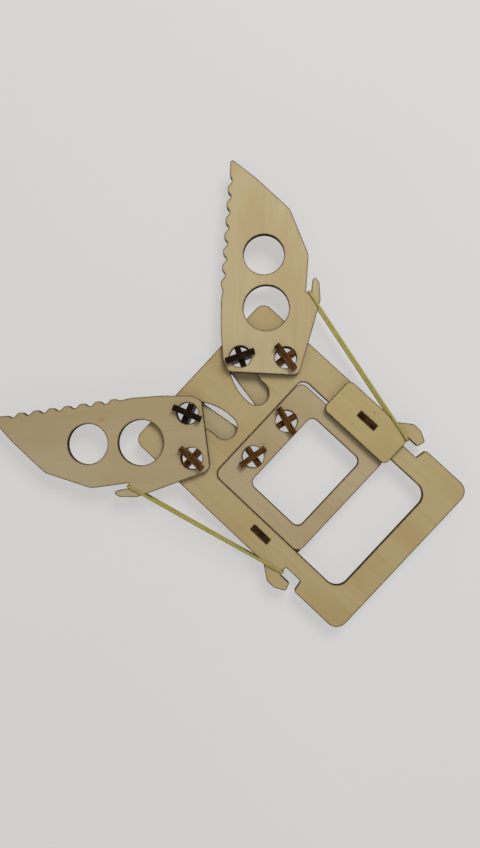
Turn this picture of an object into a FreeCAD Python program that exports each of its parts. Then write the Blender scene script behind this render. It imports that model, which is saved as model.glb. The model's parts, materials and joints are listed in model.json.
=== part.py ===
import FreeCAD, Part
import math
import os

from FreeCAD import Vector

# Hand gripper cut from one plywood sheet: a frame with a handle opening, a slider pulled by the
# fingers, two toothed jaws, two links behind the frame, guides that keep the slider in its plane,
# crossed wooden pins, and two rubber bands that open the jaws again.
#
# All sizes are millimetres. The parts are drawn in the mechanism's own frame: X across the frame,
# Y towards the jaws, Z out of the frame's front face, Y = 0 through the two slider pins, and
# Z = 0 on the frame's back face. export() then moves everything so that the origin is at the
# middle of the assembly's footprint, on the plane of its lowest faces.

# Driving dimensions
sheet = 3.0                    # plywood thickness
gap = 0.1                      # play between two plates that slide on each other
frame_half_width = 47.0
frame_top = 49.0
frame_bottom = -87.7
opening_half_width = 32.2      # handle opening, which is also the slider's track
opening_top = 8.3
opening_bottom = -74.2
opening_lower_radius = 6.5
opening_upper_radius = 4.0
pivot = Vector(33.75, 21.4, 0)     # right jaw's pivot; the left one is its mirror image
crank = Vector(19.05, 38.05, 0)    # right jaw's crank pin, jaws open
closing_angle = 48.6           # from the drawn pose until the jaws' local axes are parallel
jaw_swing = 49.8               # from open to closed
slot_width = 12.0              # arc slot in the frame round each pivot
slot_slack_angle = 2.2         # how much further than the crank pin's travel each slot reaches
jaw_large_hole = Vector(-10.17, 24.31, 0)  # centres in the jaw's own axes
jaw_large_hole_radius = 11.25
jaw_small_hole = Vector(-12.04, 50.75, 0)
jaw_small_hole_radius = 10.0
tooth_count = 7
tooth_pitch = 7.85
tooth_depth = 1.7
tooth_taper = 0.042            # how far the crests lean outwards, per millimetre towards the tip
first_tooth_x = -32.8          # crest of the tooth nearest the root, in the jaw's own axes
first_tooth_y = 36.0
first_tooth_rise = 0.9         # from the root's edge up to that crest
pin_hole_radius = 5.3
pin_play = 0.05                # radial play of a pin's corners in its hole
pin_head_length = 14.9
pin_head_height = 3.0
slider_width = 62.8
slider_shift = -0.7            # the slider lies against the left side of its track
slider_bottom = -48.1
slider_pin_x = 12.05           # from the slider's middle
slider_corner_radius = 4.0
window_half_width = 22.5       # the slider's window for the fingers
window_bottom = -39.8
window_top = -7.5
window_corner_radius = 3.5
link_width = 15.0
link_length = 38.8
link_lean = {1: 10.0, -1: 8.0}     # right and left link, away from the middle, jaws open
link_eye_radius = 8.4
link_eye_hole_radius = 6.35    # wide, because this pivot takes up the linkage's small errors
guide_inner_x = 27.7
guide_top = -8.8
guide_bottom = -49.3
guide_corner_radius = 3.0
guide_cut_x = 42.8             # the corner cut away for the band runs from here along the lower edge
guide_cut_y = -41.5            # to here along the outer edge
back_guide_outer_x = 42.8      # the back guides stop short of the bands
back_guide_bottom = -48.3
key_centre = Vector(38.0, -28.6, 0)
key_length = 10.6
key_head_length = 16.0
band_width = 1.4
band_thickness = 0.8
band_hook = Vector(44.2, -48.75, 0)        # the right band's end in the frame's pocket
band_notch = Vector(10.4, 32.9, 0)         # the other end, in the jaw's own axes
band_joint = 0.94              # where the band's loop round the jaw begins, as a share of its length
band_front_bend = 0.55         # where the front strand leaves the jaw's level, as a share of its length

# Middle of the assembly's footprint and its lowest plane
centre_y = 10.111
floor_z = -(2 * sheet + 2 * gap)

# Worked-out values
front = sheet                                  # frame's front face
jaw_back = front + gap
jaw_front = jaw_back + sheet
link_front = -gap
link_back = link_front - sheet
crank_radius = (crank - pivot).Length
crank_rest_angle = 180 - closing_angle
pin_shaft_width = 2 * math.sqrt((pin_hole_radius - pin_play) ** 2 - (sheet / 2) ** 2)
up = Vector(0, 0, 1)
cutter_height = 40.0           # taller than the whole stack of plates

os.makedirs("parts", exist_ok=True)


# ---------------------------------------------------------------- drawing helpers

def rounded_wire(corners):
    """Closed outline through (x, y, radius) corners, each rounded by a tangent arc."""
    points = [Vector(x, y, 0) for x, y, _ in corners]
    count = len(corners)
    starts, arcs, ends = [], [], []
    for i, (_, _, radius) in enumerate(corners):
        corner = points[i]
        to_last = (points[i - 1] - corner).normalize()
        to_next = (points[(i + 1) % count] - corner).normalize()
        half = to_last.getAngle(to_next) / 2
        if radius <= 0 or abs(half - math.pi / 2) < 1e-4:
            starts.append(corner)
            arcs.append(None)
            ends.append(corner)
            continue
        bisector = (to_last + to_next).normalize()
        start = corner + to_last * (radius / math.tan(half))
        end = corner + to_next * (radius / math.tan(half))
        middle = corner + bisector * (radius / math.sin(half) - radius)
        starts.append(start)
        arcs.append(Part.Arc(start, middle, end).toShape())
        ends.append(end)
    edges = []
    for i in range(count):
        if arcs[i]:
            edges.append(arcs[i])
        following = starts[(i + 1) % count]
        if (following - ends[i]).Length > 1e-6:
            edges.append(Part.makeLine(ends[i], following))
    return Part.Wire(edges)


def plate(corners, back, thickness=sheet):
    """Flat sheet with a rounded outline, from the plane z = back upwards."""
    face = Part.Face(rounded_wire(corners))
    face.translate(up * back)
    return face.extrude(up * thickness)


def box_plate(low_x, high_x, low_y, high_y, radius, back, thickness=sheet):
    corners = [(low_x, low_y), (high_x, low_y), (high_x, high_y), (low_x, high_y)]
    return plate([(x, y, radius) for x, y in corners], back, thickness)


def bore(centre, radius):
    """Cutter through the whole stack of plates."""
    return Part.makeCylinder(radius, cutter_height, Vector(centre.x, centre.y, -cutter_height / 2))


def arc_slot(centre, radius, from_angle, to_angle, width):
    """Cutter for a slot of constant width along an arc, with round ends."""
    ring = bore(centre, radius + width / 2).cut(bore(centre, radius - width / 2))
    base = Vector(centre.x, centre.y, -cutter_height / 2)
    wedge = Part.makeCylinder(3 * radius, cutter_height, base, up, to_angle - from_angle)
    wedge.rotate(centre, up, from_angle)
    slot = ring.common(wedge)
    caps = [bore(polar(centre, radius, angle), width / 2) for angle in (from_angle, to_angle)]
    return slot.fuse(caps)


def polar(centre, radius, angle):
    turn = math.radians(angle)
    return centre + Vector(math.cos(turn), math.sin(turn), 0) * radius


def mirrored(shape):
    """The same part on the left side."""
    return shape.mirror(Vector(0, 0, 0), Vector(1, 0, 0))


def mirror_point(point):
    return Vector(-point.x, point.y, point.z)


def export(name, shape):
    placed = shape.copy()
    placed.translate(Vector(0, -centre_y, -floor_z))
    if len(placed.Solids) != 1 or not placed.isValid():
        raise SystemExit(name + " is not one valid solid")
    placed.Solids[0].exportStep("parts/" + name + ".step")
    exported[name] = placed


# ---------------------------------------------------------------- frame

def frame_side():
    """Right edge of the frame from top to bottom, with the band's hook and pocket."""
    edge = frame_half_width
    return [
        (edge, frame_top, 5.0),
        (edge, -38.8, 5.0),
        (52.5, -46.4, 2.6),
        (52.4, -51.0, 2.4),
        (49.7, -56.2, 1.2),
        (45.65, -55.0, 1.0),
        (45.65, -48.5, 1.0),
        (41.2, -48.5, 1.0),
        (41.2, -58.2, 0.8),
        (46.3, -59.1, 0.6),
        (edge, -60.0, 0.6),
        (edge, frame_bottom, 6.0),
    ]


def frame_plate():
    right = frame_side()
    left = [(-x, y, radius) for x, y, radius in reversed(right)]
    body = plate(right + left, 0)
    opening = plate([
        (-opening_half_width, opening_bottom, opening_lower_radius),
        (opening_half_width, opening_bottom, opening_lower_radius),
        (opening_half_width, opening_top, opening_upper_radius),
        (-opening_half_width, opening_top, opening_upper_radius),
    ], -1, sheet + 2)
    first = crank_rest_angle - slot_slack_angle
    last = crank_rest_angle + jaw_swing + slot_slack_angle
    slot = arc_slot(pivot, crank_radius, first, last, slot_width)
    one_side = [slot, bore(pivot, pin_hole_radius), key_block(0, sheet)]
    return body.cut([opening] + one_side + [mirrored(cutter) for cutter in one_side])


# ---------------------------------------------------------------- slider and links

def slider_pin(side):
    return Vector(side * slider_pin_x + slider_shift, 0, 0)


def slider_plate():
    half = slider_width / 2
    body = box_plate(slider_shift - half, slider_shift + half, slider_bottom, opening_top - gap,
                     slider_corner_radius, gap / 2, sheet - gap)
    window = box_plate(slider_shift - window_half_width, slider_shift + window_half_width, window_bottom,
                       window_top, window_corner_radius, -1, sheet + 2)
    return body.cut([window, bore(slider_pin(1), pin_hole_radius), bore(slider_pin(-1), pin_hole_radius)])


def link(side):
    """Straight bar behind the frame, from a slider pin to a wide eye round a crank pin."""
    start = slider_pin(side)
    end = polar(start, link_length, 90 - side * link_lean[side])
    across = Vector(end.y - start.y, start.x - end.x, 0).normalize() * (link_width / 2)
    sides = Part.makePolygon([start + across, end + across, end - across, start - across, start + across])
    outline = [disc(start, link_width / 2), disc(end, link_eye_radius)]
    sides.translate(up * link_back)
    bar = Part.Face(sides).extrude(up * sheet).fuse(outline).removeSplitter()
    return bar.cut([bore(start, pin_hole_radius), bore(end, link_eye_hole_radius)])


def disc(centre, radius):
    """Round end of a link, in the links' layer."""
    return Part.makeCylinder(radius, sheet, Vector(centre.x, centre.y, link_back))


# ---------------------------------------------------------------- jaws

def jaw_teeth():
    """Rounded teeth along the inner edge, from the root to the tip, whose own edge is straight."""
    corners = []
    for tooth in range(tooth_count):
        middle = first_tooth_y + tooth * tooth_pitch
        crest = first_tooth_x + tooth_taper * (middle - first_tooth_y)
        rise = tooth_depth if tooth else first_tooth_rise
        corners += [
            (crest + rise, middle - 3.3, 1.3),
            (crest, middle - 1.2, 1.0),
            (crest, middle + 1.2, 1.0),
            (crest + tooth_depth, middle + 3.2, 1.3),
        ]
    return corners + [(-28.8, 87.7, 1.3), (-30.0, 89.9, 1.0)]


def jaw_outline():
    """Jaw in its own axes: the pivot at 0, y towards the tip, x away from the other jaw."""
    outer = [
        (-30.0, 97.0, 0.8),
        (-28.6, 97.7, 0.9),
        (-16.9, 88.8, 60.0),
        (-3.9, 77.2, 8.0),
        (0.3, 73.2, 6.0),
        (9.9, 51.0, 9.0),
        (9.1, 32.0, 0.5),
        (11.6, 32.0, 0.5),
        (12.2, 38.6, 0.8),
        (13.4, 40.1, 1.0),
        (15.5, 37.2, 2.0),
        (16.3, 28.6, 5.0),
        (12.9, 15.2, 40.0),
        (6.6, -8.6, 4.0),
        (-27.9, -7.6, 3.0),
        (-30.6, -3.0, 3.0),
        (-32.2, 12.0, 40.0),
        (-32.6, 27.0, 10.0),
    ]
    return outer + jaw_teeth()


def jaw():
    """Right jaw, swung open about its pivot."""
    body = plate(jaw_outline(), jaw_back)
    holes = ((jaw_large_hole, jaw_large_hole_radius), (jaw_small_hole, jaw_small_hole_radius))
    body = body.cut([bore(centre, radius) for centre, radius in holes])
    body.rotate(Vector(0, 0, 0), up, -closing_angle)
    body.translate(pivot)
    return body.cut([bore(pivot, pin_hole_radius), bore(crank, pin_hole_radius)])


# ---------------------------------------------------------------- guides and keys

def front_guide():
    """Front guide plate, lapping over the slider's edge; one corner is cut away for the band."""
    corners = [
        (guide_inner_x, guide_top, guide_corner_radius),
        (frame_half_width, guide_top, guide_corner_radius),
        (frame_half_width, guide_cut_y, guide_corner_radius),
        (guide_cut_x, guide_bottom, 1.0),
        (guide_inner_x, guide_bottom, guide_corner_radius),
    ]
    return plate(corners, front).cut(key_block(front, sheet))


def back_guide():
    """Right back guide plate, which stops the slider falling out behind."""
    body = box_plate(guide_inner_x, back_guide_outer_x, back_guide_bottom, guide_top,
                     guide_corner_radius, -sheet)
    return body.cut(key_block(-sheet, sheet))


def key_block(back, height):
    low = Vector(key_centre.x - sheet / 2, key_centre.y - key_length / 2, back)
    return Part.makeBox(sheet, key_length, height, low)


def guide_key(top):
    """T-shaped key through the plates, with its head behind the back guide."""
    head_low = Vector(key_centre.x - sheet / 2, key_centre.y - key_head_length / 2, -2 * sheet)
    head = Part.makeBox(sheet, key_head_length, sheet, head_low)
    return key_block(-sheet, top + sheet).fuse(head).removeSplitter()


# ---------------------------------------------------------------- crossed pins

def bar(centre, angle, length, low, high):
    """Upright piece of sheet, centred on a point, its length at an angle in the XY plane."""
    block = Part.makeBox(length, sheet, high - low, Vector(-length / 2, -sheet / 2, low))
    block.rotate(Vector(0, 0, 0), up, angle)
    block.translate(centre)
    return block


def pin_halves(centre, angle, low, high):
    """Two T-shaped halves that slot into each other: one head in front, the other behind."""
    middle = (low + high) / 2
    front_half = bar(centre, angle, pin_shaft_width, low, high)
    front_half = front_half.fuse(bar(centre, angle, pin_head_length, high, high + pin_head_height))
    front_half = front_half.cut(bar(centre, angle + 90, pin_shaft_width, low, middle))
    back_half = bar(centre, angle + 90, pin_shaft_width, low, high)
    back_half = back_half.fuse(bar(centre, angle + 90, pin_head_length, low - pin_head_height, low))
    back_half = back_half.cut(bar(centre, angle, pin_shaft_width, middle, high))
    return front_half.removeSplitter(), back_half.removeSplitter()


# ---------------------------------------------------------------- rubber bands

def jaw_point(local):
    """A point given in the right jaw's own axes, jaws open."""
    turned = FreeCAD.Rotation(up, -closing_angle).multVec(local)
    return pivot + turned


def band_pieces(over_guide):
    """Right band: the long strands from the pocket, and the short loop round the jaw's notch."""
    end = jaw_point(band_notch)
    reach = (end - band_hook).Length
    along = (end - band_hook).normalize()
    side = Vector(along.y, -along.x, 0)
    half = band_thickness / 2
    top = jaw_front + gap / 2
    start_z = top if over_guide else front + gap / 2
    behind = -gap
    seam = band_joint * reach
    bend = band_front_bend * reach
    low = -half - gap / 2
    strands = [
        (seam, top), (bend, top), (low + half, start_z), (low + half, behind), (seam, behind),
        (seam, behind - band_thickness), (low - half, behind - band_thickness),
        (low - half, start_z + band_thickness), (bend, top + band_thickness),
        (seam, top + band_thickness),
    ]
    loop = [
        (seam, top), (reach - half, top), (reach - half, front), (seam, behind),
        (seam, behind - band_thickness), (reach + half, front - half),
        (reach + half, top + band_thickness), (seam, top + band_thickness),
    ]
    pieces = []
    for profile in (strands, loop):
        corners = [band_hook + along * s + up * z - side * (band_width / 2) for s, z in profile]
        face = Part.Face(Part.makePolygon(corners + corners[:1]))
        pieces.append(face.extrude(side * band_width))
    return pieces


# ---------------------------------------------------------------- assembly

exported = {}
export("frame_plate", frame_plate())
export("slider_plate", slider_plate())
export("jaw_right", jaw())
export("jaw_left", mirrored(jaw()))
export("link_right", link(1))
export("link_left", link(-1))
export("guide_front_right", front_guide())
export("guide_back_right", back_guide())
export("guide_back_left", mirrored(back_guide()))
export("guide_key_right", guide_key(2 * sheet))
export("guide_key_left", mirrored(guide_key(sheet)))

# name: centre, angle of the front head, lowest and highest level of the shaft
pins = {
    "pivot_pin_right": (pivot, 79.5, 0, jaw_front + gap),
    "pivot_pin_left": (mirror_point(pivot), 89.7, 0, jaw_front + gap),
    "crank_pin_right": (crank, 152.4, link_back - gap, jaw_front + gap),
    "crank_pin_left": (mirror_point(crank), 109.0, link_back - gap, jaw_front + gap),
    "slider_pin_right": (slider_pin(1), 73.8, link_back - gap, front + gap),
    "slider_pin_left": (slider_pin(-1), 168.6, link_back - gap, front + gap),
}
for pin_name, (pin_centre, pin_angle, pin_low, pin_high) in pins.items():
    front_part, back_part = pin_halves(pin_centre, pin_angle, pin_low, pin_high)
    export(pin_name + "_front", front_part)
    export(pin_name + "_back", back_part)

for band_name, is_left in (("rubber_band_right", False), ("rubber_band_left", True)):
    strands_piece, loop_piece = band_pieces(not is_left)
    export(band_name, mirrored(strands_piece) if is_left else strands_piece)
    export(band_name + "_loop", mirrored(loop_piece) if is_left else loop_piece)

whole = Part.makeCompound(list(exported.values())).BoundBox
print("box", [round(v, 3) for v in (whole.XMin, whole.XMax, whole.YMin, whole.YMax, whole.ZMin, whole.ZMax)])
print(len(exported), "nodes")
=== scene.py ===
import json
import math

import bmesh
import bpy
import numpy as np
from mathutils import Matrix, Vector, geometry


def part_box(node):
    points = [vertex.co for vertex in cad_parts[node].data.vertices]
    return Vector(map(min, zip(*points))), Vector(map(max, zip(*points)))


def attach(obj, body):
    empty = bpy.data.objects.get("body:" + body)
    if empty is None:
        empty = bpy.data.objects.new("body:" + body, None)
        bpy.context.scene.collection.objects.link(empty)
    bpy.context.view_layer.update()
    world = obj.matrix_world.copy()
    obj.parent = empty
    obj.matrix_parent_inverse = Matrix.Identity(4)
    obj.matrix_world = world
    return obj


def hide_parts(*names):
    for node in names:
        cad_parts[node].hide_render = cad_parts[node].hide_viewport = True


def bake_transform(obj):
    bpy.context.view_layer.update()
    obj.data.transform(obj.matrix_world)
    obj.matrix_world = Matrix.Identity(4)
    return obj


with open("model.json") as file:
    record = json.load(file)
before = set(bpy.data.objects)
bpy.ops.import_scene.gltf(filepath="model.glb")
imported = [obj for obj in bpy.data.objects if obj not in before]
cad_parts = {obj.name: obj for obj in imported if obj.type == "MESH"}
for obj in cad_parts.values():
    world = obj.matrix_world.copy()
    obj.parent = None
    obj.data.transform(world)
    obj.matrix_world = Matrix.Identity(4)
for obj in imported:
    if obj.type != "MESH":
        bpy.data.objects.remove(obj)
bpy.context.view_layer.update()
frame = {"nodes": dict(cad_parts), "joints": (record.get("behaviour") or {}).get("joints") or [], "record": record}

# A plywood hand gripper. Each plate, each key and each half of a crossed pin is rebuilt from its CAD
# node's own outline as a sheet with rounded edges, and each rubber band is one closed loop.
# Everything is in metres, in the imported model's frame: Y towards the jaws, Z out of the front face.

MM = 0.001
EDGE_ROUNDING = 0.13 * MM      # how far the laser's burr is rubbed down along each edge
OUTLINE_STEP = 0.9 * MM        # longest stretch of outline between two points
RINGS = ((0.32 * MM, 1), (0.75 * MM, 1), (1.6 * MM, 2))    # rows inside it: distance, stride
RING_SLACK = 0.97              # a row's points may be this much nearer a cut than their distance
GRID_STEP = 3.2 * MM           # even grid over the rest of the sheet
GRID_MARGIN = 1.5 * RINGS[-1][0]
SAME_WAY = 0.999               # cosine above which two faces look the same way
SAME_LEVEL = 1e-6
SHORTEST_SIDE = 1e-7
STRAIGHT = 1e-4                # sine below which two sides are one
SHARP_ANGLE = math.radians(32)

PLATES = ("frame_plate", "slider_plate", "jaw_right", "jaw_left", "link_right", "link_left",
          "guide_front_right", "guide_back_right", "guide_back_left")
KEYS = ("guide_key_right", "guide_key_left")
PINS = ("pivot_pin_right", "pivot_pin_left", "crank_pin_right", "crank_pin_left",
        "slider_pin_right", "slider_pin_left")


# ---------------------------------------------------------------- sheets rebuilt from the CAD nodes

def sheet_normal(bm):
    """The sheet's normal, which is the direction that most of its surface faces."""
    sums = []
    for face in bm.faces:
        normal = face.normal if max(face.normal, key=abs) > 0 else -face.normal
        same = next((s for s in sums if s.normalized().dot(normal) > SAME_WAY), None)
        if same is None:
            sums.append(normal * face.calc_area())
        else:
            same += normal * face.calc_area()
    return max(sums, key=lambda s: s.length).normalized()


def boundary_loops(bm, normal, level):
    """Closed outlines of the face at that level, each with the wood on its left."""
    following = {}
    for face in bm.faces:
        height = face.calc_center_median().dot(normal)
        if face.normal.dot(normal) < SAME_WAY or abs(height - level) > SAME_LEVEL:
            continue
        for corner in face.loops:
            twin = corner.link_loop_radial_next
            if twin is corner or twin.face.normal.dot(normal) < SAME_WAY:
                following[corner.vert] = corner.link_loop_next.vert
    loops = []
    while following:
        first = next(iter(following))
        loop, vert = [], first
        while vert in following:
            loop.append(vert.co.copy())
            vert = following.pop(vert)
        loops.append(loop)
    return loops


def without_straight_points(loop):
    """The outline without the points that lie along a straight side."""
    kept = []
    for i, point in enumerate(loop):
        before = point - loop[i - 1]
        after = loop[(i + 1) % len(loop)] - point
        turn = abs(before.cross(after))
        if before.length > SHORTEST_SIDE and turn > STRAIGHT * before.length * after.length:
            kept.append(point)
    return kept


def stepped(loop):
    """The outline with long sides divided."""
    points = []
    for i, point in enumerate(loop):
        following = loop[(i + 1) % len(loop)]
        count = max(1, math.ceil((following - point).length / OUTLINE_STEP))
        points += [point.lerp(following, k / count) for k in range(count)]
    return points


def inset(loop, distance):
    """Each point moved into the wood by that distance from both of its sides."""
    moved = []
    for i, point in enumerate(loop):
        before = (point - loop[i - 1]).normalized()
        after = (loop[(i + 1) % len(loop)] - point).normalized()
        left = Vector((-before.y, before.x))
        right = Vector((-after.y, after.x))
        moved.append(point + (left + right) * (distance / (1 + left.dot(right))))
    return moved


def distance_to_outline(points, segments):
    """Distance from each point to the nearest outline segment."""
    starts, ends = segments
    along = ends - starts
    squared = (along ** 2).sum(1)
    nearest = np.empty(len(points))
    for i, point in enumerate(points):
        share = np.clip(((point - starts) * along).sum(1) / squared, 0, 1)
        nearest[i] = np.hypot(*(point - starts - along * share[:, None]).T).min()
    return nearest


def inside_outline(points, segments):
    """Which points lie in the wood, by counting the sides that a ray crosses."""
    starts, ends = segments
    x0, y0 = starts.T
    x1, y1 = ends.T
    result = np.zeros(len(points), bool)
    for i, (x, y) in enumerate(points):
        crossing = (y0 > y) != (y1 > y)
        share = (y - y0[crossing]) / (y1[crossing] - y0[crossing])
        at = x0[crossing] + share * (x1 - x0)[crossing]
        result[i] = (at > x).sum() % 2 == 1
    return result


def fill_points(loops, segments):
    """Points for the flat of the sheet: rows that follow the outline, then an even grid."""
    candidates, least = [], []
    for distance, stride in RINGS:
        for loop in loops:
            for point in inset(loop, distance)[::stride]:
                candidates.append((point.x, point.y))
                least.append(distance * RING_SLACK)
    corners = np.array([(p.x, p.y) for loop in loops for p in loop])
    low, high = corners.min(0), corners.max(0)
    row, y = 0, low[1]
    while y < high[1]:
        for x in np.arange(low[0] + (row % 2) * GRID_STEP / 2, high[0], GRID_STEP):
            candidates.append((x, y))
            least.append(GRID_MARGIN)
        row += 1
        y += GRID_STEP * math.sqrt(3) / 2
    candidates = np.array(candidates)
    keep = inside_outline(candidates, segments)
    keep &= distance_to_outline(candidates, segments) >= np.array(least)
    return [Vector(p) for p in candidates[keep]]


def build_sheet(name, node, grain_direction):
    """A sheet with rounded edges from a CAD node's outline. Its attributes say, in millimetres, where
    each point is along, across and through the wood, and how far it is from the nearest cut."""
    bm = bmesh.new()
    bm.from_mesh(frame["nodes"][node].data)
    bmesh.ops.remove_doubles(bm, verts=bm.verts, dist=1e-6)
    bmesh.ops.recalc_face_normals(bm, faces=bm.faces)
    bm.normal_update()
    normal = sheet_normal(bm)
    levels = [v.co.dot(normal) for v in bm.verts]
    top, half = max(levels), (max(levels) - min(levels)) / 2
    grain = Vector(grain_direction)
    grain = (grain - normal * grain.dot(normal)).normalized()
    across = normal.cross(grain)
    loops = boundary_loops(bm, normal, top)
    bm.free()
    flat = [[Vector((p.dot(grain), p.dot(across))) for p in loop] for loop in loops]
    flat = [stepped(without_straight_points(loop)) for loop in flat]

    starts = np.array([(p.x, p.y) for loop in flat for p in loop])
    ends = np.array([(p.x, p.y) for loop in flat for p in loop[1:] + loop[:1]])
    segments = (starts, ends)
    rims = [inset(loop, EDGE_ROUNDING) for loop in flat]
    points = [p for rim in rims for p in rim]
    edges, first = [], 0
    for rim in rims:
        edges += [(first + i, first + (i + 1) % len(rim)) for i in range(len(rim))]
        first += len(rim)
    points += fill_points(flat, segments)
    verts, _, faces, origin, _, _ = geometry.delaunay_2d_cdt(points, edges, [], 0, 1e-9)
    centres = np.array([sum((verts[i] for i in face), Vector((0, 0))) / 3 for face in faces])
    rim_segments = (np.array([(points[a].x, points[a].y) for a, _ in edges]),
                    np.array([(points[b].x, points[b].y) for _, b in edges]))
    wood = inside_outline(centres, rim_segments)
    faces = [face for face, is_wood in zip(faces, wood) if is_wood]
    place = {source: i for i, sources in enumerate(origin) for source in sources}

    mesh_points, mesh_faces, cut = [], [], []
    depth = distance_to_outline(np.array([(v.x, v.y) for v in verts]), segments)
    middle = top - half
    for side in (1, -1):
        base = len(mesh_points)
        mesh_points += [(v.x, v.y, middle + side * half) for v in verts]
        cut += list(depth)
        for face in faces:
            mesh_faces.append([base + i for i in (face if side > 0 else reversed(face))])
    back_base = len(verts)
    corner = EDGE_ROUNDING * (1 - math.sqrt(0.5))      # the rounding's middle, from each of its planes
    rows = [(corner, half - corner), (0, half - EDGE_ROUNDING), (0, half / 3), (0, -half / 3),
            (0, EDGE_ROUNDING - half), (corner, corner - half)]
    first = 0
    for loop in flat:
        count = len(loop)
        strips = [[place[first + i] for i in range(count)]]
        for distance, level in rows:
            base = len(mesh_points)
            mesh_points += [(p.x, p.y, middle + level) for p in inset(loop, distance)]
            cut += [0.0] * count
            strips.append(list(range(base, base + count)))
        strips.append([back_base + place[first + i] for i in range(count)])
        for upper, lower in zip(strips, strips[1:]):
            for i in range(count):
                k = (i + 1) % count
                mesh_faces.append((upper[i], lower[i], lower[k], upper[k]))
        first += count

    mesh = bpy.data.meshes.new(name)
    places = [tuple(grain * x + across * y + normal * z) for x, y, z in mesh_points]
    mesh.from_pydata(places, [], mesh_faces)
    wood_place = mesh.attributes.new("wood", "FLOAT_VECTOR", "POINT")
    in_wood = [c / MM for x, y, z in mesh_points for c in (x, y, z - middle)]
    wood_place.data.foreach_set("vector", in_wood)
    mesh.attributes.new("cut", "FLOAT", "POINT").data.foreach_set("value", [c / MM for c in cut])
    clean_up(mesh)
    return bpy.data.objects.new(name, mesh)


def clean_up(mesh):
    """Drops loose points, points the faces outwards, and shades only the gentle edges smooth."""
    bm = bmesh.new()
    bm.from_mesh(mesh)
    bmesh.ops.delete(bm, geom=[v for v in bm.verts if not v.link_faces], context="VERTS")
    bmesh.ops.remove_doubles(bm, verts=bm.verts, dist=1e-8)
    bmesh.ops.recalc_face_normals(bm, faces=bm.faces)
    bm.to_mesh(mesh)
    bm.free()
    mesh.shade_smooth()
    mesh.set_sharp_from_angle(angle=SHARP_ANGLE)


# ---------------------------------------------------------------- materials

class Graph:
    """Short names for building a material's nodes."""

    def __init__(self, name):
        self.material = bpy.data.materials.new(name)
        self.material.use_nodes = True
        self.nodes = self.material.node_tree.nodes
        self.links = self.material.node_tree.links
        self.nodes.clear()
        output = self.nodes.new("ShaderNodeOutputMaterial")
        self.shader = self.nodes.new("ShaderNodeBsdfPrincipled")
        self.links.new(self.shader.outputs[0], output.inputs[0])

    def put(self, socket, value):
        if isinstance(value, bpy.types.NodeSocket):
            self.links.new(value, socket)
        else:
            socket.default_value = value

    def attribute(self, name, output):
        node = self.nodes.new("ShaderNodeAttribute")
        node.attribute_name = name
        return node.outputs[output]

    def stretch(self, vector, scale, offset=(0, 0, 0)):
        node = self.nodes.new("ShaderNodeMapping")
        self.put(node.inputs["Vector"], vector)
        node.inputs["Scale"].default_value = scale
        node.inputs["Location"].default_value = offset
        return node.outputs[0]

    def noise(self, vector, detail=3.0, roughness=0.55, distortion=0.0):
        node = self.nodes.new("ShaderNodeTexNoise")
        self.put(node.inputs["Vector"], vector)
        node.inputs["Scale"].default_value = 1.0
        node.inputs["Detail"].default_value = detail
        node.inputs["Roughness"].default_value = roughness
        node.inputs["Distortion"].default_value = distortion
        return node.outputs[0]

    def remap(self, value, low, high, to_low=0.0, to_high=1.0):
        node = self.nodes.new("ShaderNodeMapRange")
        node.interpolation_type = "SMOOTHSTEP"
        self.put(node.inputs["Value"], value)
        node.inputs["From Min"].default_value = low
        node.inputs["From Max"].default_value = high
        node.inputs["To Min"].default_value = to_low
        node.inputs["To Max"].default_value = to_high
        return node.outputs[0]

    def math(self, operation, a, b=0.0):
        node = self.nodes.new("ShaderNodeMath")
        node.operation = operation
        self.put(node.inputs[0], a)
        self.put(node.inputs[1], b)
        return node.outputs[0]

    def length(self, vector):
        node = self.nodes.new("ShaderNodeVectorMath")
        node.operation = "LENGTH"
        self.put(node.inputs[0], vector)
        return node.outputs["Value"]

    def component(self, vector, index):
        node = self.nodes.new("ShaderNodeSeparateXYZ")
        self.put(node.inputs[0], vector)
        return node.outputs[index]

    def mix(self, factor, a, b, blend="MIX"):
        node = self.nodes.new("ShaderNodeMix")
        node.data_type = "RGBA"
        node.blend_type = blend
        self.put(node.inputs[0], factor)
        self.put(node.inputs[6], a if isinstance(a, bpy.types.NodeSocket) else (*a, 1.0))
        self.put(node.inputs[7], b if isinstance(b, bpy.types.NodeSocket) else (*b, 1.0))
        return node.outputs[2]

    def bump(self, height, strength, distance):
        node = self.nodes.new("ShaderNodeBump")
        self.put(node.inputs["Height"], height)
        node.inputs["Strength"].default_value = strength
        node.inputs["Distance"].default_value = distance
        return node.outputs[0]


LIGHT_VENEER = (0.50, 0.405, 0.220)
DARK_VENEER = (0.40, 0.305, 0.148)
GOLDEN_VENEER = (0.465, 0.355, 0.172)
SCORCH = (0.095, 0.050, 0.021)
CHAR = (0.013, 0.006, 0.003)
BROWN_CUT = (0.165, 0.070, 0.016)
STAIN = (0.30, 0.175, 0.085)
GLUE_LEVEL = 0.5               # millimetres from the sheet's middle to the joint between two plies
VENEER_RELIEF = 0.08 * MM

# Marks in the veneer: along and across the grain, half length, half width, strength
MARKS = {
    "guide_front_right": [(-38.5, -43.1, 0.75, 0.55, 0.85)],
    "frame_plate": [(4.6, -18.0, 4.2, 0.28, 0.55)],
    "jaw_left": [(75.7, -9.4, 3.2, 1.5, 0.30)],
}


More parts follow.
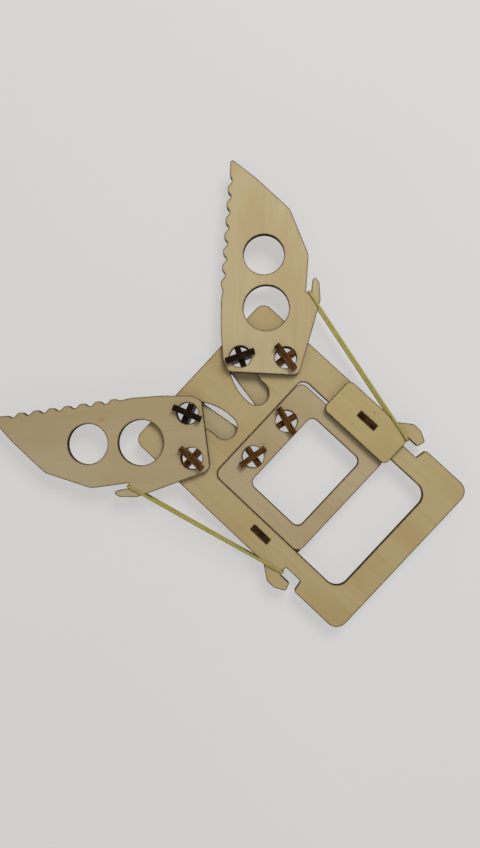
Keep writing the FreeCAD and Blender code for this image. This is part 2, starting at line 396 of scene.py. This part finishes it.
def plywood(name, seed, tint, burn, soot_scale, marks):
    """Birch plywood with a laser-burnt cut edge. tint colours the veneer, burn darkens the cut, and
    soot_scale stretches the soot along, across or through the sheet."""
    g = Graph(name)
    place = g.attribute("wood", "Vector")
    cut = g.attribute("cut", "Fac")
    shift = (17.3 * seed, 9.1 * seed, 3.7 * seed)
    light, dark, golden = (
        tuple(c * t for c, t in zip(veneer, tint))
        for veneer in (LIGHT_VENEER, DARK_VENEER, GOLDEN_VENEER))

    clouds = g.noise(g.stretch(place, (0.018, 0.045, 0.3), shift), 2.0)
    streaks = g.noise(g.stretch(place, (0.030, 0.55, 0.4), shift), 4.0, 0.6, 0.3)
    pores = g.noise(g.stretch(place, (0.22, 4.5, 1.5), shift), 3.0, 0.7)
    face = g.mix(g.remap(clouds, 0.36, 0.66), light, golden)
    face = g.mix(g.remap(streaks, 0.42, 0.80, 0.0, 0.34), face, dark)
    face = g.mix(g.remap(pores, 0.60, 0.78, 0.0, 0.20), face, dark)

    for along, across, half_length, half_width, strength in marks:
        scale = (1 / half_length, 1 / half_width, 0)
        at_mark = g.stretch(place, scale, (-along / half_length, -across / half_width, 0))
        face = g.mix(g.remap(g.length(at_mark), 0.45, 1.0, strength, 0.0), face, STAIN)

    ragged = g.noise(g.stretch(place, (1.1, 1.1, 1.1), shift), 2.0)
    reach = g.math("SUBTRACT", cut, g.remap(ragged, 0.2, 0.8, -0.06, 0.22))
    face = g.mix(g.remap(reach, 0.0, 0.85, 0.42, 0.0), face, SCORCH, "MULTIPLY")
    face = g.mix(g.remap(reach, 0.05, 0.42, 0.88, 0.0), face, SCORCH)

    level = g.math("ABSOLUTE", g.component(place, 2))
    glue = g.math("ABSOLUTE", g.math("SUBTRACT", level, GLUE_LEVEL))
    soot = g.noise(g.stretch(place, soot_scale, shift), 3.0, 0.65)
    wall = g.mix(g.remap(soot, 0.25 + 0.25 * burn, 0.62 + 0.25 * burn), CHAR, BROWN_CUT)
    wall = g.mix(g.remap(glue, 0.03, 0.11, 0.75, 0.0), wall, CHAR)
    is_wall = g.remap(cut, 0.0, 0.04, 1.0, 0.0)
    g.put(g.shader.inputs["Base Color"], g.mix(is_wall, face, wall))
    face_roughness = g.remap(streaks, 0.3, 0.8, 0.50, 0.66)
    g.put(g.shader.inputs["Roughness"], g.math("MAXIMUM", is_wall, face_roughness))
    relief = g.math("ADD", g.math("MULTIPLY", pores, 0.5), g.math("MULTIPLY", streaks, 0.5))
    g.put(g.shader.inputs["Normal"], g.bump(relief, 0.22, VENEER_RELIEF))
    g.put(g.shader.inputs["Specular IOR Level"], g.remap(is_wall, 0.0, 1.0, 0.35, 0.12))
    return g.material


OLIVE = (0.315, 0.265, 0.040)
LIGHT_OLIVE = (0.42, 0.37, 0.085)
DUSTY_OLIVE = (0.50, 0.44, 0.15)
RUBBER_RELIEF = 0.05 * MM
RUBBER_SCATTERING = 1.2 * MM


def rubber(name):
    """Olive natural rubber, a little translucent, with faint marks along its length."""
    g = Graph(name)
    place = g.attribute("band", "Vector")
    marks = g.noise(g.stretch(place, (0.25, 3.0, 3.0)), 3.0, 0.6)
    dust = g.noise(g.stretch(place, (1.6, 1.6, 1.6)), 2.0)
    colour = g.mix(g.remap(marks, 0.3, 0.7), OLIVE, LIGHT_OLIVE)
    colour = g.mix(g.remap(dust, 0.50, 0.85, 0.0, 0.20), colour, DUSTY_OLIVE)
    g.put(g.shader.inputs["Base Color"], colour)
    g.put(g.shader.inputs["Roughness"], g.remap(dust, 0.3, 0.8, 0.34, 0.52))
    g.put(g.shader.inputs["Normal"], g.bump(marks, 0.25, RUBBER_RELIEF))
    g.shader.inputs["Subsurface Weight"].default_value = 0.35
    g.shader.inputs["Subsurface Radius"].default_value = (1.0, 0.8, 0.2)
    g.shader.inputs["Subsurface Scale"].default_value = RUBBER_SCATTERING
    return g.material


# ---------------------------------------------------------------- plates, keys and pins

def body_of(node):
    bodies = frame["record"]["behaviour"]["bodies"]
    return next(body for body, nodes in bodies.items() if node in nodes)


SMALL_PIECE_SOOT = (0.14, 0.16, 1.3)       # follows the plies, which show along the heads of the pins
PLATE_SOOT = (1.1, 1.1, 0.3)               # follows the laser through the sheet


def add_sheet(node, grain_direction, tint, burn, seed, soot_scale=SMALL_PIECE_SOOT):
    piece = build_sheet(node + "_ply", node, grain_direction)
    bpy.context.scene.collection.objects.link(piece)
    piece.data.materials.append(
        plywood(node + "_wood", seed, tint, burn, soot_scale, MARKS.get(node, ())))
    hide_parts(node)
    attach(piece, body_of(node))


JAW_LEAN = math.radians(48.6)              # from the frame's axis, with the jaws open


def jaw_direction(side):
    """From a jaw's pivot towards its tip, with the jaws open."""
    return (side * math.sin(JAW_LEAN), math.cos(JAW_LEAN), 0)


ALONG_FRAME = (0, 1, 0)
THROUGH_FRAME = (0, 0, 1)
GRAINS = {"jaw_right": jaw_direction(1), "jaw_left": jaw_direction(-1)}
PLAIN_TINT = (0.95, 0.95, 0.95)
TINTS = {"frame_plate": (0.97, 0.93, 0.83), "slider_plate": (0.94, 0.92, 0.97),
         "jaw_right": (1.06, 1.06, 1.06), "jaw_left": (0.93, 0.93, 0.97),
         "guide_front_right": (0.95, 0.91, 0.72)}
KEY_TINT = (0.45, 0.45, 0.45)
BROWN_PIN_TINT = (0.30, 0.25, 0.22)
BLACK_PIN_TINT = (0.10, 0.10, 0.10)
PLATE_BURN = 0.95
KEY_BURN = 0.7
BROWN_PIN_BURN = 0.2
BLACK_PIN_BURN = 1.2
FIRST_PLATE_SEED = 1
FIRST_KEY_SEED = 21
FIRST_PIN_SEED = 31

for seed, plate_node in enumerate(PLATES, FIRST_PLATE_SEED):
    grain = GRAINS.get(plate_node, ALONG_FRAME)
    add_sheet(plate_node, grain, TINTS.get(plate_node, PLAIN_TINT), PLATE_BURN, seed, PLATE_SOOT)
for seed, key_node in enumerate(KEYS, FIRST_KEY_SEED):
    add_sheet(key_node, THROUGH_FRAME, KEY_TINT, KEY_BURN, seed)
pin_halves = [pin + half for pin in PINS for half in ("_front", "_back")]
for seed, half_node in enumerate(pin_halves, FIRST_PIN_SEED):
    if half_node.startswith("crank"):
        add_sheet(half_node, THROUGH_FRAME, BLACK_PIN_TINT, BLACK_PIN_BURN, seed)
    else:
        add_sheet(half_node, THROUGH_FRAME, BROWN_PIN_TINT, BROWN_PIN_BURN, seed)


# ---------------------------------------------------------------- rubber bands

BAND_WIDTH = 1.3 * MM
BAND_THICKNESS = 0.7 * MM
BAND_INSET = 0.4 * MM          # from a CAD band's outer surface to the middle of this one
BAND_STEPS = 260               # points along the loop
SECTION_STEPS = 14             # points round its section
SECTION_POWER = 0.45           # 1 makes the section an ellipse, 0 a rectangle
ARC_STEPS = 12
BEND_SHARE = 0.55              # where the front strand reaches the jaw's level, along its length
BEND_RADIUS = 60 * MM
HOOK_RADIUS = 0.9 * MM         # bends in the frame's pocket and at the front of the jaw's notch
HOOK_OFFSET = -0.5 * MM        # how far beyond the swing's axis the band passes through the pocket
SEAM_RADIUS = 2.5 * MM
NOTCH_RADIUS = 0.7 * MM        # bend at the back of the jaw's notch
NOTCH_DROP = 0.2 * MM          # that bend's level, below the frame's front face
LIFT = 0.5 * MM                # the left band's front strand, above that face


def rounded_path(corners, spacing):
    """Closed path through (along, level, radius) corners with tangent arcs, evenly divided."""
    points = [Vector((s, z)) for s, z, _ in corners]
    dense = []
    for i, (_, _, radius) in enumerate(corners):
        corner = points[i]
        to_last = (points[i - 1] - corner).normalized()
        to_next = (points[(i + 1) % len(points)] - corner).normalized()
        half = to_last.angle(to_next) / 2
        reach = radius / math.tan(half)
        start, end = corner + to_last * reach, corner + to_next * reach
        centre = corner + (to_last + to_next).normalized() * (radius / math.sin(half))
        turn = (start - centre).angle_signed(end - centre)
        for k in range(ARC_STEPS + 1):
            dense.append(centre + Matrix.Rotation(-turn * k / ARC_STEPS, 2) @ (start - centre))
    lengths = [(dense[(i + 1) % len(dense)] - p).length for i, p in enumerate(dense)]
    count = round(sum(lengths) / spacing)
    even, i, covered = [], 0, 0.0
    for k in range(count):
        target = k * sum(lengths) / count
        while covered + lengths[i] < target:
            covered += lengths[i]
            i += 1
        share = (target - covered) / max(lengths[i], 1e-12)
        even.append(dense[i].lerp(dense[(i + 1) % len(dense)], share))
    return even


def joint(name):
    return next(j for j in frame["joints"] if j["name"] == name)


def flattened(turn, size):
    """Half of the section's size at an angle whose cosine or sine is turn, with its corners rounded."""
    return math.copysign(abs(turn) ** SECTION_POWER, turn) * size / 2


def band_piece(side_name):
    """One closed band round the frame's pocket and the jaw's notch, just inside its CAD solids."""
    node, loop_node = f"rubber_band_{side_name}", f"rubber_band_{side_name}_loop"
    stretch = joint(f"band_{side_name}_stretch")
    swing = joint(f"band_{side_name}_swing")
    along = Vector(stretch["axis"]).normalized()
    lateral = Vector((along.y, -along.x, 0))
    hook = Vector(swing["pos_m"])
    hook.z = 0
    loop_spans = [(v.co - hook).dot(along) for v in frame["nodes"][loop_node].data.vertices]
    reach = max(loop_spans) - BAND_INSET
    seam = min(loop_spans)
    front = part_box(loop_node)[1].z - BAND_INSET
    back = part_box(node)[0].z + BAND_INSET
    frame_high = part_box("frame_plate")[1].z
    over_guide = side_name == "right"
    start_level = front if over_guide else frame_high + LIFT
    corners = [
        (reach, front, HOOK_RADIUS),
        (BEND_SHARE * reach, front, BEND_RADIUS),
        (HOOK_OFFSET, start_level, HOOK_RADIUS),
        (HOOK_OFFSET, back, HOOK_RADIUS),
        (seam, back, SEAM_RADIUS),
        (reach, frame_high - NOTCH_DROP, NOTCH_RADIUS),
    ]
    path = rounded_path(corners, 2 * reach / BAND_STEPS)
    verts, places, faces = [], [], []
    travelled = 0.0
    for i, point in enumerate(path):
        tangent = (path[(i + 1) % len(path)] - path[i - 1]).normalized()
        outward = Vector((-tangent.y, tangent.x))
        travelled += (point - path[i - 1]).length if i else 0
        for k in range(SECTION_STEPS):
            turn = 2 * math.pi * k / SECTION_STEPS
            wide = flattened(math.cos(turn), BAND_WIDTH)
            thick = flattened(math.sin(turn), BAND_THICKNESS)
            s, z = point + outward * thick
            verts.append(hook + along * s + lateral * wide + Vector((0, 0, z)))
            places.append((travelled / MM, wide / MM, thick / MM))
    for i in range(len(path)):
        this = i * SECTION_STEPS
        following = (i + 1) % len(path) * SECTION_STEPS
        for k in range(SECTION_STEPS):
            beside = (k + 1) % SECTION_STEPS
            faces.append((this + k, this + beside, following + beside, following + k))
    mesh = bpy.data.meshes.new(node + "_strap")
    mesh.from_pydata([tuple(v) for v in verts], [], faces)
    mesh.attributes.new("band", "FLOAT_VECTOR", "POINT").data.foreach_set(
        "vector", [c for place in places for c in place])
    bm = bmesh.new()
    bm.from_mesh(mesh)
    bmesh.ops.recalc_face_normals(bm, faces=bm.faces)
    bm.to_mesh(mesh)
    bm.free()
    mesh.shade_smooth()
    piece = bpy.data.objects.new(node + "_strap", mesh)
    bpy.context.scene.collection.objects.link(piece)
    mesh.materials.append(rubber_material)
    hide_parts(node, loop_node)
    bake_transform(piece)


rubber_material = rubber("olive_rubber")
for band_side in ("right", "left"):
    band_piece(band_side)


# ---------------------------------------------------------------- camera, floor and light

CAMERA_PLACE = Vector((-0.00173, -0.01366, 0.32939))
CAMERA_FORWARD = Vector((-0.0111, 0.0601, -0.9981))
CAMERA_RIGHT = Vector((0.6817, -0.7298, -0.0515))
SENSOR_WIDTH = 36.0
FOCAL_LENGTH = 27.59
FLOOR_SIZE = 6
FLOOR_DARK = (0.585, 0.575, 0.57)
FLOOR_LIGHT = (0.615, 0.605, 0.60)
FLOOR_DIMMING = 0.65           # how much of the lamps' light the floor swallows, because it also glows
FLOOR_GLOW = 0.80
SKY_COLOUR = (0.93, 0.95, 1.0, 1.0)
SKY_STRENGTH = 0.33
ORIGIN = Vector((0, 0, 0))


def add_camera():
    """Looks down on the front face from about 0.33 m, with the gripper lying diagonally."""
    camera = bpy.data.objects.new("camera", bpy.data.cameras.new("camera"))
    bpy.context.scene.collection.objects.link(camera)
    forward = CAMERA_FORWARD.normalized()
    right = (CAMERA_RIGHT - forward * CAMERA_RIGHT.dot(forward)).normalized()
    turn = Matrix((right, right.cross(forward), -forward)).transposed()
    camera.matrix_world = Matrix.Translation(CAMERA_PLACE) @ turn.to_4x4()
    camera.data.sensor_width = SENSOR_WIDTH
    camera.data.lens = FOCAL_LENGTH
    camera.data.clip_start = 10 * MM
    bpy.context.scene.camera = camera


def floor_material():
    """Pale and matt. It glows a little, so that the openings in the plates are as bright as the rest."""
    g = Graph("pale_floor")
    coordinates = g.nodes.new("ShaderNodeTexCoord").outputs["Object"]
    cloud = g.noise(g.stretch(coordinates, (3.0, 3.0, 3.0)), 2.0)
    colour = g.mix(cloud, FLOOR_DARK, FLOOR_LIGHT)
    g.put(g.shader.inputs["Base Color"], g.mix(FLOOR_DIMMING, colour, (0, 0, 0)))
    g.put(g.shader.inputs["Emission Color"], colour)
    g.shader.inputs["Emission Strength"].default_value = FLOOR_GLOW
    g.shader.inputs["Roughness"].default_value = 0.9
    return g.material


def add_floor():
    bpy.ops.mesh.primitive_plane_add(size=FLOOR_SIZE, location=ORIGIN)
    floor = bpy.context.object
    floor.name = "floor"
    floor.data.materials.append(floor_material())


def add_area_light(name, place, size, power, colour):
    """Round soft lamp, pointing at the origin."""
    light = bpy.data.objects.new(name, bpy.data.lights.new(name, "AREA"))
    light.data.shape = "DISK"
    light.data.size = size
    light.data.energy = power
    light.data.color = colour
    light.location = place
    light.rotation_euler = (ORIGIN - Vector(place)).to_track_quat("-Z", "Y").to_euler()
    bpy.context.scene.collection.objects.link(light)


def add_sky():
    world = bpy.data.worlds.new("soft_sky")
    world.use_nodes = True
    background = world.node_tree.nodes["Background"]
    background.inputs["Color"].default_value = SKY_COLOUR
    background.inputs["Strength"].default_value = SKY_STRENGTH
    bpy.context.scene.world = world


add_camera()
add_floor()
add_area_light("key", place=(0.55, 0.15, 0.75), size=0.45, power=5.3, colour=(1.0, 0.985, 0.955))
add_area_light("fill", place=(-0.6, -0.5, 0.8), size=0.9, power=1.3, colour=(0.97, 0.985, 1.0))
add_sky()
bpy.context.scene.view_settings.view_transform = "Standard"
